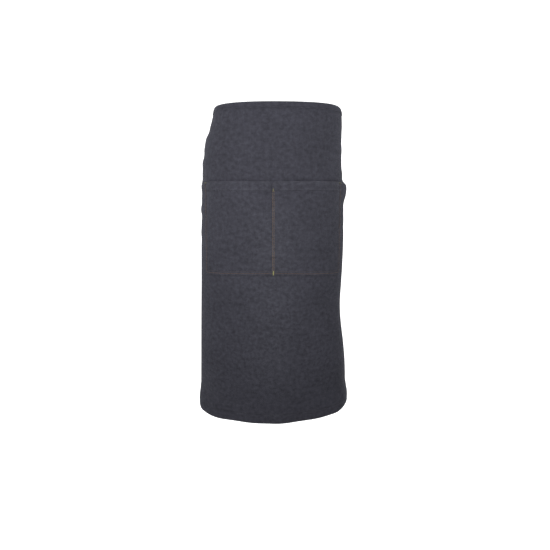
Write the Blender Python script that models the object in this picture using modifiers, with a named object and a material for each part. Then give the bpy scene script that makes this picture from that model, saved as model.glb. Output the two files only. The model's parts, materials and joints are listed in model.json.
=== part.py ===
# Denim welding apron, waist style, hung as it is worn: a skirt of heavy denim wrapped round the front
# of a body, a folded waistband, one wide patch pocket stitched into two, and ties bowed at the back.
# +Z is up, the front faces -Y, and the origin is the centre of the waist loop at the apron's top edge.

import bpy
import bmesh
import math
import numpy as np
from mathutils import Vector

for ob in list(bpy.data.objects):
    bpy.data.objects.remove(ob, do_unlink=True)

# ------------------------------------------------------------------ driving dimensions (metres)
LENGTH = 0.762            # top edge to bottom hem, 30 in
FLAT_WIDTH = 0.610        # side hem to side hem, laid flat, 24 in
HALF = FLAT_WIDTH / 2
CLOTH = 0.0014            # one layer of heavy denim
GAP = 0.0003              # clearance between pieces that touch
BAND = 0.014              # height of the folded waistband
BAND_CLOTH = 0.0009

T_HIP = 0.095             # where the skirt swings below the waist
T_KNEE = 0.480            # where the lower skirt swings
POCKET_TOP = 0.1783
POCKET_BOTTOM = 0.3948
POCKET_HALF = 0.1855
POCKET_HEM = 0.0205
POCKET_GAPE = 0.012       # how far each half of the pocket's mouth stands open
SEAM_EDGE = 0.0045        # edge-stitched row, from the patch's edge
SEAM_SECOND = 0.0095      # second row
DIVIDER_PITCH = 0.0032    # the two rows down the middle
SIDE_HEM = 0.012
BOTTOM_HEM = 0.022
THREAD = 0.00035          # thread radius
TIE_WIDTH = 0.020
TIE_THICK = 0.0014
TAIL_LENGTH = 0.230

# half widths of the body the skirt wraps, left and right of the middle, and its half depth,
# each as (distance below the top edge, value)
LEFT_A = [(0.0, 0.1428), (0.012, 0.1464), (0.040, 0.1536), (0.085, 0.1680), (0.125, 0.1740), (0.200, 0.1795),
          (0.300, 0.1827), (0.420, 0.1857), (0.560, 0.1895), (0.700, 0.1930), (0.762, 0.1950)]
RIGHT_A = [(0.0, 0.1634), (0.014, 0.1664), (0.070, 0.1674), (0.140, 0.1692), (0.185, 0.1732), (0.230, 0.1754),
           (0.330, 0.1775), (0.420, 0.1747), (0.480, 0.1725), (0.520, 0.1746), (0.592, 0.1842),
           (0.650, 0.1896), (0.762, 0.1938)]
DEPTH_B = [(0.0, 0.1050), (0.100, 0.1105), (0.200, 0.1145), (0.480, 0.1180), (0.762, 0.1220)]
SQUARE_N = [(0.0, 2.35), (0.120, 2.15), (0.250, 2.0), (0.762, 2.0)]    # 2 is an ellipse, more is squarer

COLUMNS = 40              # cloth columns across the full width
DENIM = (0.060, 0.061, 0.074, 1.0)
DENIM_IN = (0.095, 0.098, 0.115, 1.0)
TAN = (0.36, 0.21, 0.085, 1.0)
DARK_THREAD = (0.035, 0.035, 0.043, 1.0)

# ------------------------------------------------------------------ the draped surface


def smooth_curve(table):
    """A smooth curve through a table: cubic Hermite with averaged slopes."""
    x = np.array([p[0] for p in table])
    y = np.array([p[1] for p in table])
    d = np.diff(y) / np.diff(x)
    m = np.concatenate([[d[0]], (d[:-1] + d[1:]) / 2, [d[-1]]])

    def f(t):
        t = min(max(t, x[0]), x[-1])
        i = int(min(max(np.searchsorted(x, t) - 1, 0), len(x) - 2))
        h = x[i + 1] - x[i]
        u = (t - x[i]) / h
        return float((2 * u ** 3 - 3 * u ** 2 + 1) * y[i] + (u ** 3 - 2 * u ** 2 + u) * h * m[i]
                     + (-2 * u ** 3 + 3 * u ** 2) * y[i + 1] + (u ** 3 - u ** 2) * h * m[i + 1])
    return f


left_a, right_a, depth_b = smooth_curve(LEFT_A), smooth_curve(RIGHT_A), smooth_curve(DEPTH_B)
squareness = smooth_curve(SQUARE_N)
ANGLES = np.linspace(0.0, math.pi, 721)
_sections = {}


def section(right, t):
    """Half of the level section at one height: points from the middle of the front round to the middle
    of the back, with the length along it and its outward normals. It is a slightly squared ellipse."""
    key = (right, round(t, 7))
    if key not in _sections:
        a, b, e = (right_a if right else left_a)(t), depth_b(t), 2.0 / squareness(t)
        sn, cs = np.sin(ANGLES), np.cos(ANGLES)
        x = a * np.abs(sn) ** e
        y = -b * np.sign(cs) * np.abs(cs) ** e
        run = np.concatenate([[0.0], np.cumsum(np.hypot(np.diff(x), np.diff(y)))])
        even = np.linspace(0.0, run[-1], 721)
        x, y = np.interp(even, run, x), np.interp(even, run, y)
        dx, dy = np.gradient(x, even), np.gradient(y, even)
        n = np.hypot(dx, dy)
        _sections[key] = (even, x, y, dy / n, -dx / n)
    return _sections[key]


def bump(x, centre, width):
    return math.exp(-((x - centre) / width) ** 2)


def smoothstep(x):
    x = min(max(x, 0.0), 1.0)
    return x * x * (3 - 2 * x)


def puff(s, t):
    """Small departures of the hung cloth from the plain wrap: the pucker beside the pocket's right
    corner, and the flare of the stiff bottom hem."""
    out = 0.0
    if t > 0.171:
        out += 0.0102 * smoothstep((t - 0.171) / 0.015) * bump(max(t - 0.192, 0.0), 0.0, 0.0285) * bump(s, 0.236, 0.036)
    if t > 0.700:
        out += (0.0045 if s > 0 else 0.003) * smoothstep((t - 0.700) / 0.045) * min(abs(s) / 0.20, 1.0)
    return out


def lift(s, t):
    """The bottom hem hangs a little higher towards the right, and at the left side. The waist dips a
    little at each hip, and the cloth sags a little beside the bottom of the pocket."""
    if s > 0:
        up = 0.0092 * min((math.hypot(s, 0.015) - 0.015) / 0.18, 1.0) + 0.0090 * smoothstep((s - 0.165) / 0.05)
    else:
        up = 0.003 * smoothstep((-s - 0.16) / 0.06) + 0.010 * smoothstep((-s - 0.205) / 0.04)
    dip = 0.0050 * bump(abs(s), 0.208, 0.036) * (1 - smoothstep(t / 0.07))
    dip += 0.0080 * smoothstep(abs(s) / (0.21 if s > 0 else 0.25)) * bump(t, 0.392, 0.080)
    return up * smoothstep((t - 0.56) / 0.19) - dip


def cloth(s, t, off=0.0):
    """Point on the skirt: s metres across from the middle, t metres below the top edge,
    off metres outward from the cloth's outer face."""
    even, xs, ys, nxs, nys = section(s >= 0, t)
    sg = 1.0 if s >= 0 else -1.0
    x, y = np.interp(abs(s), even, xs), np.interp(abs(s), even, ys)
    nx, ny = np.interp(abs(s), even, nxs), np.interp(abs(s), even, nys)
    n = math.hypot(nx, ny)
    d = off + puff(s, t)
    return Vector((sg * (x + d * nx / n), y + d * ny / n, -t + lift(s, t)))


def outward(s, t):
    return (cloth(s, t, 0.01) - cloth(s, t, 0.0)).normalized()


def pocket_gap(s, t):
    """Room between the skirt and the pocket patch: none at the seams, most at each mouth's middle."""
    lo, hi = DIVIDER_PITCH, POCKET_HALF - SEAM_SECOND - 0.002
    u = (abs(s) - lo) / (hi - lo)
    v = (POCKET_BOTTOM - SEAM_SECOND - 0.002 - t) / (POCKET_BOTTOM - SEAM_SECOND - 0.002 - POCKET_TOP)
    if u <= 0 or u >= 1 or v <= 0:
        return 0.0
    return POCKET_GAPE * math.sin(math.pi * u) ** 0.8 * math.sin(math.pi / 2 * min(v, 1.0)) ** 1.3


# ------------------------------------------------------------------ helpers
parts = bpy.data.collections.new("welding_apron")
bpy.context.scene.collection.children.link(parts)


def material(name, colour, rough, metal=0.0):
    m = bpy.data.materials.new(name)
    m.use_nodes = True
    p = m.node_tree.nodes["Principled BSDF"]
    p.inputs["Base Color"].default_value = colour
    p.inputs["Roughness"].default_value = rough
    p.inputs["Metallic"].default_value = metal
    return m


def adopt(ob, name, colour=DENIM, rough=0.9):
    ob.name = name
    ob.data.name = name
    for c in list(ob.users_collection):
        c.objects.unlink(ob)
    parts.objects.link(ob)
    ob.data.materials.clear()
    ob.data.materials.append(material(name + "_mat", colour, rough))
    return ob


def sheet(name, nx, ny, place, thick, colour=DENIM):
    """A cloth sheet: a grid laid over u, v in 0..1, bent by place(u, v), thickened inward."""
    bpy.ops.mesh.primitive_grid_add(x_subdivisions=nx, y_subdivisions=ny, size=1.0)
    ob = adopt(bpy.context.active_object, name, colour)
    for v in ob.data.vertices:
        v.co = place(v.co.x + 0.5, v.co.y + 0.5)
    ob.data.shade_smooth()
    m = ob.modifiers.new("cloth", 'SOLIDIFY')
    m.thickness = thick
    m.offset = -1.0
    m.use_even_offset = True
    return ob


def thread(name, points, colour=TAN, cyclic=False, radius=THREAD, res=0):
    """A sewn row: a fine tube along its points."""
    c = bpy.data.curves.new(name, 'CURVE')
    c.dimensions = '3D'
    c.bevel_depth = radius
    c.bevel_resolution = res
    c.use_fill_caps = not cyclic
    sp = c.splines.new('POLY')
    sp.points.add(len(points) - 1)
    for q, p in zip(sp.points, points):
        q.co = (p[0], p[1], p[2], 1.0)
    sp.use_cyclic_u = cyclic
    ob = bpy.data.objects.new(name, c)
    bpy.context.scene.collection.objects.link(ob)
    return adopt(ob, name, colour, 0.7)


def column(i):
    return -HALF + FLAT_WIDTH * i / COLUMNS


def across(t, off, lo=-HALF, hi=HALF, inset=0.0):
    """Points across the skirt at one height, on the cloth's own columns."""
    ss = [column(i) for i in range(COLUMNS + 1) if lo + inset + 1e-4 < column(i) < hi - inset - 1e-4]
    ss = [lo + inset] + ss + [hi - inset]
    return [cloth(s, t, off(s, t) if callable(off) else off) for s in ss]


def down(s, t0, t1, ts):
    """Points down the skirt from t0 to t1 at one place across, on the cloth's own rows."""
    return [cloth(s, t, ROW) for t in [t0] + [t for t in ts if t0 + 0.001 < t < t1 - 0.001] + [t1]]


ROW = 0.00045 + THREAD            # a row's centre above the cloth it lies on

# ------------------------------------------------------------------ waist: band, upper skirt, ties


def even_rows(t0, t1, n):
    return [t0 + (t1 - t0) * i / n for i in range(n + 1)]


def strip(rows, name):
    def place(u, v):
        return cloth(column(round(u * COLUMNS)), rows[int(round((1 - v) * (len(rows) - 1)))])
    return sheet(name, COLUMNS, len(rows) - 1, place, CLOTH)


UPPER_ROWS = [0.0030, BAND * 0.6, BAND, 0.022] + even_rows(0.036, T_HIP - GAP / 2, 3)
MIDDLE_ROWS = even_rows(T_HIP + GAP / 2, T_KNEE - GAP / 2, 12)
LOWER_ROWS = even_rows(T_KNEE + GAP / 2, LENGTH, 12)
strip(UPPER_ROWS, "upper_skirt")

# waistband: one strip of denim folded over the top edge, open downwards like a U
BAND_OUT = GAP + BAND_CLOTH
BAND_IN = -(CLOTH + GAP + BAND_CLOTH)
MID, RAD = (BAND_OUT + BAND_IN) / 2, (BAND_OUT - BAND_IN) / 2
fold = [(BAND, BAND_OUT), (BAND * 0.6, BAND_OUT), (0.0030, BAND_OUT)]
fold += [(RAD - RAD * math.sin(math.radians(k)), MID + RAD * math.cos(math.radians(k))) for k in (15, 55, 90, 125, 165)]
fold += [(0.0030, BAND_IN), (BAND * 0.6, BAND_IN), (BAND, BAND_IN)]


def band_place(u, v):
    t, off = fold[int(round(v * (len(fold) - 1)))]
    s = column(round(u * COLUMNS))
    p = cloth(s, max(t, 0.0), off)
    p.z = -t + lift(s, max(t, 0.0))
    return p


band = sheet("waistband", COLUMNS, len(fold) - 1, band_place, BAND_CLOTH)
band.modifiers["cloth"].use_even_offset = False

thread("waistband_stitch", across(BAND - 0.0022, BAND_OUT + ROW, inset=0.004), DARK_THREAD)

# ties: woven tape sewn inside each end of the band and carried round the back to the knot
KNOT = Vector((0.0, 0.1105, -0.0125))
KNOT_HALF = 0.013
TIE_OFF = BAND_IN - GAP - 0.0001


def tie_point(s, v, off, free=0.0):
    """On the tape: it follows the slope of the band where it is sewn, and stands upright where it is free."""
    t = 0.0025 + TIE_WIDTH * (1.0 - v)
    p = cloth(s, t, off).lerp(cloth(s, 0.0125, off), free)
    p.z = -t + lift(s, t)
    return p


def back_arc(sign):
    """Arc length from the front to where the tie meets the knot."""
    even, x, y, _, _ = section(sign > 0, 0.0125)
    return float(even[np.where((x < KNOT_HALF + 0.0006) & (y > 0))[0][0]])


for sign, side in ((-1, "left"), (1, "right")):
    s0, s1 = HALF - 0.030, back_arc(sign)
    n = 26

    def place(u, v, sign=sign, s0=s0, s1=s1):
        w = u if sign > 0 else 1.0 - u
        s = s0 + (s1 - s0) * w
        out = min(max((s - HALF - 0.004) / 0.03, 0.0), 1.0)
        out = out * out * (3 - 2 * out)
        return tie_point(sign * s, v, TIE_OFF + 0.0030 * out, out)
    sheet(side + "_tie", n, 2, place, TIE_THICK, DENIM_IN)
    # the stitched box that holds the tie's end, seen inside the band's end
    q = []
    for (ds, dz) in ((0.004, 0.006), (0.013, 0.006), (0.026, 0.006), (0.026, 0.012), (0.026, 0.018), (0.013, 0.018), (0.004, 0.018), (0.004, 0.012)):
        q.append(cloth(sign * (s0 + ds), dz, TIE_OFF - TIE_THICK - ROW))
    thread(side + "_tie_box_stitch", q, DARK_THREAD, cyclic=True)

# the bow at the back: knot, two loops, and two tails that hang free
bpy.ops.mesh.primitive_cube_add(size=1.0, location=KNOT)
knot = adopt(bpy.context.active_object, "bow_knot", DENIM_IN)
knot.scale = (2 * KNOT_HALF, 0.015, 0.026)
bpy.ops.object.select_all(action='DESELECT')
knot.select_set(True)
bpy.context.view_layer.objects.active = knot
bpy.ops.object.transform_apply(location=False, rotation=False, scale=True)
bev = knot.modifiers.new("round", 'BEVEL')
bev.width = 0.0045
bev.segments = 3
knot.data.shade_smooth()

LOOP = 0.085
for sign, side in ((-1, "left"), (1, "right")):
    def place(u, v, sign=sign):
        w = u if sign > 0 else 1.0 - u
        ang = math.pi * (2 * w - 1)                     # -pi..pi once round the loop
        reach = 0.5 * (1 + math.cos(ang))               # 0 at the knot, 1 at the far end
        x = KNOT_HALF + 0.0012 + LOOP * reach
        fat = 0.0080 * math.sin(math.pi * min(reach * 1.02, 1.0)) ** 0.7 if 0 < reach < 1 else 0.0
        y = KNOT.y + 0.0058 + (fat + 0.0016) * (1 if w < 0.5 else -1) * (1.0 if 0.04 < reach < 0.985 else 0.62)
        if reach > 0.985:
            y = KNOT.y + 0.0058 + 0.004 * (0.5 - w) * 14
        droop = 0.040 * reach ** 1.5
        wide = TIE_WIDTH * (0.55 + 0.45 * min(reach * 3, 1.0))
        return Vector((sign * x, y, KNOT.z - droop + wide * (v - 0.5)))
    sheet(side + "_bow_loop", 32, 2, place, 0.0011, DENIM_IN)

TAIL_TOP = KNOT.z - 0.013 - 0.0014
for sign, side in ((-1, "left"), (1, "right")):
    def place(u, v, sign=sign):
        d = (1.0 - v) * TAIL_LENGTH
        return Vector((sign * (0.0125 + 0.10 * d) + (u - 0.5) * TIE_WIDTH * (0.8 + 0.2 * min(d / 0.03, 1.0)) * -1,
                       KNOT.y + 0.0007, TAIL_TOP - d))
    sheet(side + "_tie_tail", 2, 18, place, TIE_THICK, DENIM_IN)

for sign, side in ((-1, "left"), (1, "right")):
    thread(side + "_hem_stitch_upper", down(sign * (HALF - SIDE_HEM), BAND + 0.004, T_HIP - 0.004, UPPER_ROWS), DARK_THREAD)

# ------------------------------------------------------------------ skirt: middle panel and pocket
strip(MIDDLE_ROWS, "middle_skirt")

PATCH_BASE = GAP + 0.00015


def patch_off(s, t):
    """Outer face of the pocket patch above the skirt."""
    return PATCH_BASE + pocket_gap(s, t) + CLOTH


# cloth columns and rows of the patch: close to its seams, so that it lies flat there
half_cols = [0.0] + list(np.linspace(DIVIDER_PITCH, POCKET_HALF - SEAM_SECOND - 0.002, 15)) + [POCKET_HALF]
PS = [-x for x in half_cols[:0:-1]] + half_cols
PT = [POCKET_TOP, POCKET_TOP + POCKET_HEM / 2] + list(np.linspace(POCKET_TOP + POCKET_HEM, POCKET_BOTTOM - SEAM_SECOND - 0.002, 9)) + [POCKET_BOTTOM]


def patch_place(u, v):
    s = PS[int(round(u * (len(PS) - 1)))]
    t = PT[int(round((1 - v) * (len(PT) - 1)))]
    return cloth(s, t, patch_off(s, t))


sheet("pocket_patch", len(PS) - 1, len(PT) - 1, patch_place, CLOTH)


def patch_across(t, inset, lo=-POCKET_HALF, hi=POCKET_HALF):
    ss = [lo + inset] + [s for s in PS if lo + inset + 1e-3 < s < hi - inset - 1e-3] + [hi - inset]
    return [cloth(s, t, patch_off(s, t) + ROW) for s in ss]


def patch_u(inset):
    """Down the left side, along the bottom and up the right side of the patch."""
    side = [cloth(-POCKET_HALF + inset, t, patch_off(-POCKET_HALF + inset, t) + ROW)
            for t in np.linspace(POCKET_TOP + 0.004, POCKET_BOTTOM - inset - 0.012, 9)]
    bottom = patch_across(POCKET_BOTTOM - inset, inset)
    back = [cloth(POCKET_HALF - inset, t, patch_off(POCKET_HALF - inset, t) + ROW)
            for t in np.linspace(POCKET_BOTTOM - inset - 0.012, POCKET_TOP + 0.004, 9)]
    return side + bottom + back


thread("pocket_edge_seam", patch_u(SEAM_EDGE))
thread("pocket_inner_seam", patch_u(SEAM_SECOND))
# the mouth's hem row stops short of the seams at the sides and of the divider's rows in the middle
for sign, side in ((-1, "left"), (1, "right")):
    lo, hi = (-POCKET_HALF + SEAM_SECOND, -DIVIDER_PITCH / 2) if sign < 0 else (DIVIDER_PITCH / 2, POCKET_HALF - SEAM_SECOND)
    thread(side + "_pocket_hem_stitch", patch_across(POCKET_TOP + POCKET_HEM, 0.0022, lo, hi))
    s = sign * DIVIDER_PITCH / 2
    thread("divider_stitch_" + side, [cloth(s, t, patch_off(s, t) + ROW)
                                      for t in np.linspace(POCKET_TOP + POCKET_HEM + 0.003, POCKET_BOTTOM - SEAM_SECOND - 0.006, 10)])


def bar_tack(name, s, t, long, wide, lift, upright=False):
    """A dense little bar of thread, long across the cloth unless upright."""
    n = outward(s, t)
    bpy.ops.mesh.primitive_cube_add(size=1.0)
    ob = adopt(bpy.context.active_object, name, TAN, 0.7)
    thick = 0.0008
    dims = (wide, thick, long) if upright else (long, thick, wide)
    for v in ob.data.vertices:
        v.co = Vector((v.co.x * dims[0], v.co.y * dims[1], v.co.z * dims[2]))
    ob.location = cloth(s, t, patch_off(s, t) + lift + thick / 2)
    ob.rotation_euler = (0.0, 0.0, math.atan2(n.x, -n.y))
    m = ob.modifiers.new("round", 'BEVEL')
    m.width = 0.00025
    m.segments = 1
    return ob


bar_tack("divider_top_bar_tack", 0.0, POCKET_TOP + POCKET_HEM - 0.0015, 0.0060, 0.0034, 0.0006, upright=True)
bar_tack("divider_bottom_bar_tack", 0.0, POCKET_BOTTOM - SEAM_EDGE - 0.0012, 0.0090, 0.0036, 0.0017, upright=True)
bar_tack("left_pocket_bar_tack", -POCKET_HALF + 0.0065, POCKET_TOP + 0.0018, 0.010, 0.0020, 0.0006)
bar_tack("right_pocket_bar_tack", POCKET_HALF - 0.0065, POCKET_TOP + 0.0018, 0.010, 0.0020, 0.0006)

for sign, side in ((-1, "left"), (1, "right")):
    thread(side + "_hem_stitch_middle", down(sign * (HALF - SIDE_HEM), T_HIP + 0.004, T_KNEE - 0.004, MIDDLE_ROWS), DARK_THREAD)

# ------------------------------------------------------------------ lower skirt
strip(LOWER_ROWS, "lower_skirt")
thread("bottom_hem_stitch", across(LENGTH - BOTTOM_HEM, ROW, inset=SIDE_HEM + 0.003), DARK_THREAD)
for sign, side in ((-1, "left"), (1, "right")):
    thread(side + "_hem_stitch_lower", down(sign * (HALF - SIDE_HEM), T_KNEE + 0.004, LENGTH - 0.004, LOWER_ROWS), DARK_THREAD)

# ------------------------------------------------------------------ joint axes, as empties
for name, p in (("hip_axis", (0.0, -(depth_b(T_HIP) + 0.0006), -T_HIP)),
                ("knee_axis", (0.0, -(depth_b(T_KNEE) + 0.0006), -T_KNEE)),
                ("left_tail_axis", (-0.0125, KNOT.y, TAIL_TOP)),
                ("right_tail_axis", (0.0125, KNOT.y, TAIL_TOP))):
    e = bpy.data.objects.new(name, None)
    e.location = p
    parts.objects.link(e)

groups = {
    "hip_axis": ["middle_skirt", "pocket_patch", "pocket_edge_seam", "pocket_inner_seam", "left_pocket_hem_stitch",
                 "right_pocket_hem_stitch", "divider_stitch_left", "divider_stitch_right", "divider_top_bar_tack",
                 "divider_bottom_bar_tack", "left_pocket_bar_tack", "right_pocket_bar_tack",
                 "left_hem_stitch_middle", "right_hem_stitch_middle"],
    "knee_axis": ["lower_skirt", "bottom_hem_stitch", "left_hem_stitch_lower", "right_hem_stitch_lower"],
    "left_tail_axis": ["left_tie_tail"],
    "right_tail_axis": ["right_tie_tail"],
}
bpy.context.view_layer.update()
for axis, names in groups.items():
    e = bpy.data.objects[axis]
    for n in names:
        ob = bpy.data.objects[n]
        w = ob.matrix_world.copy()
        ob.parent = e
        ob.matrix_parent_inverse = e.matrix_world.inverted()
        ob.matrix_world = w
bpy.context.view_layer.update()
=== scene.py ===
# A denim waist apron hung as it is worn: skirt, folded waistband, wide stitched-down patch pocket,
# hems, every row of stitching, and ties bowed at the back.
import bpy
import bmesh
import json
import math
import numpy as np
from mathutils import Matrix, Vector

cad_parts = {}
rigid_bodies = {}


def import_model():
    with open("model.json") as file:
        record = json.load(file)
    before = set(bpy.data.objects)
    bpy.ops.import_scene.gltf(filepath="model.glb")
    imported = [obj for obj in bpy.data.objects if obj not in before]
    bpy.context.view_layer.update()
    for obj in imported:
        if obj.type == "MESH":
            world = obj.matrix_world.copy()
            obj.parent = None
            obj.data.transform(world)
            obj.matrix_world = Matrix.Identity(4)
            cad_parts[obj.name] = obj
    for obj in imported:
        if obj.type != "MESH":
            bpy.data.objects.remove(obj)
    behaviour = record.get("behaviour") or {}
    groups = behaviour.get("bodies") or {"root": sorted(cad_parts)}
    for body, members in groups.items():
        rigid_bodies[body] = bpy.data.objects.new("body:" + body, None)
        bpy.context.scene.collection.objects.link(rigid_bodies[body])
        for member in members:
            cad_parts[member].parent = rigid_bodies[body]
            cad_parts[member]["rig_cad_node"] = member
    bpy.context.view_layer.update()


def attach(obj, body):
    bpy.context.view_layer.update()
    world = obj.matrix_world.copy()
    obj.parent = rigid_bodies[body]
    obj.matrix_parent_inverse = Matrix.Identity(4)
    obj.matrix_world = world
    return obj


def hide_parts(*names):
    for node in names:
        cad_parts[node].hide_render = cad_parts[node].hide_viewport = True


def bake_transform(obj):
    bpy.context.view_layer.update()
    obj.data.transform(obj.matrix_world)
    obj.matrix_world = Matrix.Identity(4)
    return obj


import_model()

# ------------------------------------------------------------------ dimensions, as in the CAD (metres)
LENGTH, FLAT_WIDTH = 0.762, 0.610
HALF = FLAT_WIDTH / 2
CLOTH, GAP = 0.0014, 0.0003
BAND, BAND_CLOTH = 0.014, 0.0009
T_SPLIT = 0.410                       # where the upper and lower lengths of the skirt meet, unseen
POCKET_TOP, POCKET_BOTTOM, POCKET_HALF = 0.1783, 0.3948, 0.1855
POCKET_HEM, POCKET_GAPE = 0.0205, 0.012
SEAM_EDGE, SEAM_SECOND, DIVIDER_PITCH = 0.0045, 0.0095, 0.0032
SIDE_HEM, BOTTOM_HEM = 0.012, 0.022
TIE_WIDTH, TIE_THICK, TAIL_LENGTH = 0.020, 0.0014, 0.230
LEFT_A = [(0.0, 0.1428), (0.012, 0.1464), (0.040, 0.1536), (0.085, 0.1680), (0.125, 0.1740), (0.200, 0.1795),
          (0.300, 0.1827), (0.420, 0.1857), (0.560, 0.1895), (0.700, 0.1930), (0.762, 0.1950)]
RIGHT_A = [(0.0, 0.1634), (0.014, 0.1664), (0.070, 0.1674), (0.140, 0.1692), (0.185, 0.1732), (0.230, 0.1754),
           (0.330, 0.1775), (0.420, 0.1747), (0.480, 0.1725), (0.520, 0.1746), (0.592, 0.1842),
           (0.650, 0.1896), (0.762, 0.1938)]
DEPTH_B = [(0.0, 0.1050), (0.100, 0.1105), (0.200, 0.1145), (0.480, 0.1180), (0.762, 0.1220)]
SQUARE_N = [(0.0, 2.35), (0.120, 2.15), (0.250, 2.0), (0.762, 2.0)]

# ------------------------------------------------------------------ camera
F_PX, SIDE_PX = 504.0, 550.0
cam_data = bpy.data.cameras.new("camera")
cam_data.sensor_width = 36.0
cam_data.lens = F_PX / SIDE_PX * 36.0
cam_data.clip_start, cam_data.clip_end = 0.02, 60.0
cam = bpy.data.objects.new("camera", cam_data)
cam.location = (0.0038, -1.2845, -0.2063)
cam.rotation_euler = (math.radians(90.0 - 9.13), 0.0, 0.0)
bpy.context.scene.collection.objects.link(cam)
bpy.context.scene.camera = cam
bpy.context.scene.view_settings.view_transform = 'Standard'

# ------------------------------------------------------------------ the draped surface, vectorised


def curve_of(table):
    x = np.array([p[0] for p in table])
    y = np.array([p[1] for p in table])
    d = np.diff(y) / np.diff(x)
    m = np.concatenate([[d[0]], (d[:-1] + d[1:]) / 2, [d[-1]]])

    def f(t):
        t = np.clip(np.asarray(t, float), x[0], x[-1])
        i = np.clip(np.searchsorted(x, t) - 1, 0, len(x) - 2)
        h = x[i + 1] - x[i]
        u = (t - x[i]) / h
        return ((2 * u ** 3 - 3 * u ** 2 + 1) * y[i] + (u ** 3 - 2 * u ** 2 + u) * h * m[i]
                + (-2 * u ** 3 + 3 * u ** 2) * y[i + 1] + (u ** 3 - u ** 2) * h * m[i + 1])
    return f


left_a, right_a, depth_b, squareness = (curve_of(t) for t in (LEFT_A, RIGHT_A, DEPTH_B, SQUARE_N))
T_STEP, S_STEP, NT, NS = 0.001, 0.0005, 776, 901
ANGLES = np.linspace(0.0, math.pi, 721)
SIN, COS = np.sin(ANGLES), np.cos(ANGLES)


def section_rows(right):
    grid = np.arange(NS) * S_STEP
    out = np.zeros((NT, NS, 4))
    for k in range(NT):
        t = k * T_STEP
        a, b, e = float((right_a if right else left_a)(t)), float(depth_b(t)), 2.0 / float(squareness(t))
        x = a * np.abs(SIN) ** e
        y = -b * np.sign(COS) * np.abs(COS) ** e
        run = np.concatenate([[0.0], np.cumsum(np.hypot(np.diff(x), np.diff(y)))])
        even = np.linspace(0.0, run[-1], 721)
        x, y = np.interp(even, run, x), np.interp(even, run, y)
        dx, dy = np.gradient(x, even), np.gradient(y, even)
        n = np.hypot(dx, dy)
        for c, q in enumerate((x, y, dy / n, -dx / n)):
            out[k, :, c] = np.interp(grid, even, q)
    return out


SECTIONS = np.stack([section_rows(False), section_rows(True)])


def smooth(x):
    x = np.clip(x, 0.0, 1.0)
    return x * x * (3 - 2 * x)


def bump(x, centre, width):
    return np.exp(-((x - centre) / width) ** 2)


def puff(s, t):
    out = 0.0102 * smooth((t - 0.171) / 0.015) * bump(np.maximum(t - 0.192, 0.0), 0.0, 0.0285) * bump(s, 0.236, 0.036)
    return out + np.where(s > 0, 0.0045, 0.003) * smooth((t - 0.700) / 0.045) * np.minimum(np.abs(s) / 0.20, 1.0)


def lift(s, t):
    right = 0.0092 * np.minimum((np.hypot(s, 0.015) - 0.015) / 0.18, 1.0) + 0.0090 * smooth((s - 0.165) / 0.05)
    left = 0.003 * smooth((-s - 0.16) / 0.06) + 0.010 * smooth((-s - 0.205) / 0.04)
    dip = 0.0050 * bump(np.abs(s), 0.208, 0.036) * (1 - smooth(t / 0.07))
    dip = dip + 0.0080 * smooth(np.abs(s) / np.where(s > 0, 0.21, 0.25)) * bump(t, 0.392, 0.080)
    return np.where(s > 0, right, left) * smooth((t - 0.56) / 0.19) - dip


def drape(s, t):
    """Small slack of real cloth, shared by everything sewn to the skirt: puckers at the sides above and
    beside the pocket, and shallow upright folds that grow towards the hem. A millimetre or two."""
    side = smooth((np.abs(s) - 0.13) / 0.07)
    wob = (0.0009 * np.sin(2 * math.pi * (t / 0.053) + 9 * s) + 0.0005 * np.sin(2 * math.pi * (t / 0.029) + 1.9 - 14 * s))
    out = wob * side * smooth((t - 0.018) / 0.05) * (1 - smooth((t - 0.255) / 0.10)) * np.where(s < 0, 1.0, 0.45)
    grow = smooth((t - 0.40) / 0.36)
    out = out + grow * (0.0016 * np.sin(2 * math.pi * s / 0.171 + 0.7 + 1.3 * t) + 0.0009 * np.sin(2 * math.pi * s / 0.083 + 2.0 - 3.0 * t))
    # soft creases pulled from the pocket's corners and across the hips
    for (s0, t0, ds, dt, w, h) in ((-0.10, 0.120, 0.060, 0.030, 0.0085, 0.0007), (0.085, 0.105, -0.070, 0.020, 0.0090, 0.0006),
                                   (0.13, 0.455, -0.060, 0.045, 0.0120, 0.0010), (-0.12, 0.500, 0.055, 0.030, 0.0130, 0.0009),
                                   (0.06, 0.610, 0.050, 0.040, 0.0140, 0.0009), (-0.04, 0.560, -0.050, 0.030, 0.0120, 0.0007)):
        ln = math.hypot(ds, dt)
        along = ((s - s0) * ds + (t - t0) * dt) / ln
        away = ((s - s0) * dt - (t - t0) * ds) / ln
        out = out + h * np.exp(-(away / w) ** 2) * np.exp(-(along / ln) ** 2) * (1 - 0.4 * (away / w) ** 2)
    return out


def cloth(s, t, off=0.0):
    """Points s metres across and t metres down the skirt, off metres outward of its outer face."""
    s, t, off = np.broadcast_arrays(np.asarray(s, float), np.asarray(t, float), np.asarray(off, float))
    a = np.clip(np.abs(s) / S_STEP, 0, NS - 1.001)
    i = a.astype(int)
    fs = (a - i)[..., None]
    k = np.clip(t / T_STEP, 0, NT - 1.001)
    j = k.astype(int)
    ft = (k - j)[..., None]
    side = (s >= 0).astype(int)
    g = ((SECTIONS[side, j, i] * (1 - fs) + SECTIONS[side, j, i + 1] * fs) * (1 - ft)
         + (SECTIONS[side, j + 1, i] * (1 - fs) + SECTIONS[side, j + 1, i + 1] * fs) * ft)
    n = np.hypot(g[..., 2], g[..., 3])
    d = off + puff(s, t) + drape(s, t)
    sg = np.where(s >= 0, 1.0, -1.0)
    return np.stack([sg * (g[..., 0] + d * g[..., 2] / n), g[..., 1] + d * g[..., 3] / n, -t + lift(s, t)], -1)


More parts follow.
